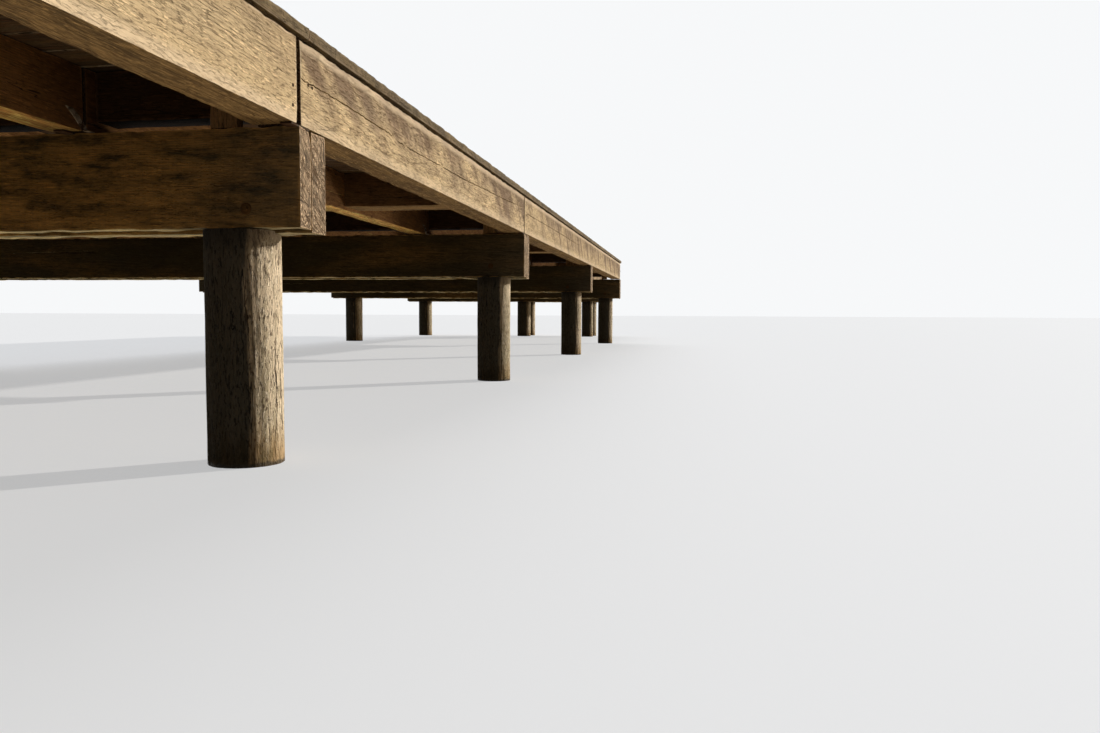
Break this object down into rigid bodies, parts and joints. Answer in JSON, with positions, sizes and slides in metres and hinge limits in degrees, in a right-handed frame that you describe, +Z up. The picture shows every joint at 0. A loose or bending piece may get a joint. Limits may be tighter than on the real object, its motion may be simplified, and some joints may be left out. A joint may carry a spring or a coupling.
{
  "type": "wooden jetty",
  "caption": "Straight timber jetty on round piles, with twin-plank caps, outer beams, inner joists, a boarded deck and low edge kerbs.",
  "frame": {"origin": "centre of the whole jetty in plan, at the waterline where the piles are cut", "axes": "+Y along the jetty from its shore end to its water end, +X across it to the right, +Z up"},
  "size_m": [4.868, 19.438, 1.314],
  "materials": {
    "pile": "weathered round timber, split along the grain, dark and stained at the waterline",
    "cap": "rough sawn, weathered brown-grey",
    "outer_beam": "rough sawn, sun-bleached tan with drying cracks",
    "joist": "sawn, sheltered brown",
    "nogging": "sawn, sheltered dark brown",
    "deck_board": "weathered boards",
    "kerb": "weathered olive-grey with lichen",
    "cleat": "sawn, paler",
    "steel_plate": "dull galvanised"
  },
  "bodies": {
    "root": {"bent_1_piles": "pile", "bent_2_piles": "pile", "bent_3_piles": "pile", "bent_4_piles": "pile", "bent_5_piles": "pile", "bent_6_piles": "pile", "end_piles": "pile", "bent_1_cap": "cap", "bent_2_cap": "cap", "bent_3_cap": "cap", "bent_4_cap": "cap", "bent_5_cap": "cap", "bent_6_cap": "cap", "end_cap": "cap", "bay_1_beam_right": "outer_beam", "bay_2_beam_right": "outer_beam", "bay_3_beam_right": "outer_beam", "bay_4_beam_right": "outer_beam", "bay_5_beam_right": "outer_beam", "bay_1_beam_left": "outer_beam", "bay_2_beam_left": "outer_beam", "bay_3_beam_left": "outer_beam", "bay_4_beam_left": "outer_beam", "bay_5_beam_left": "outer_beam", "bay_1_joists": "joist", "bay_2_joists": "joist", "bay_3_joists": "joist", "bay_4_joists": "joist", "bay_5_joists": "joist", "bay_1_noggings": "nogging", "bay_2_noggings": "nogging", "bay_3_noggings": "nogging", "bay_4_noggings": "nogging", "bay_5_noggings": "nogging", "bay_1_deck": "deck_board", "bay_2_deck": "deck_board", "bay_3_deck": "deck_board", "bay_4_deck": "deck_board", "bay_5_deck": "deck_board", "kerb_right": "kerb", "kerb_left": "kerb", "cleats": "cleat", "bearing_plates": "steel_plate"}
  },
  "joints": []
}
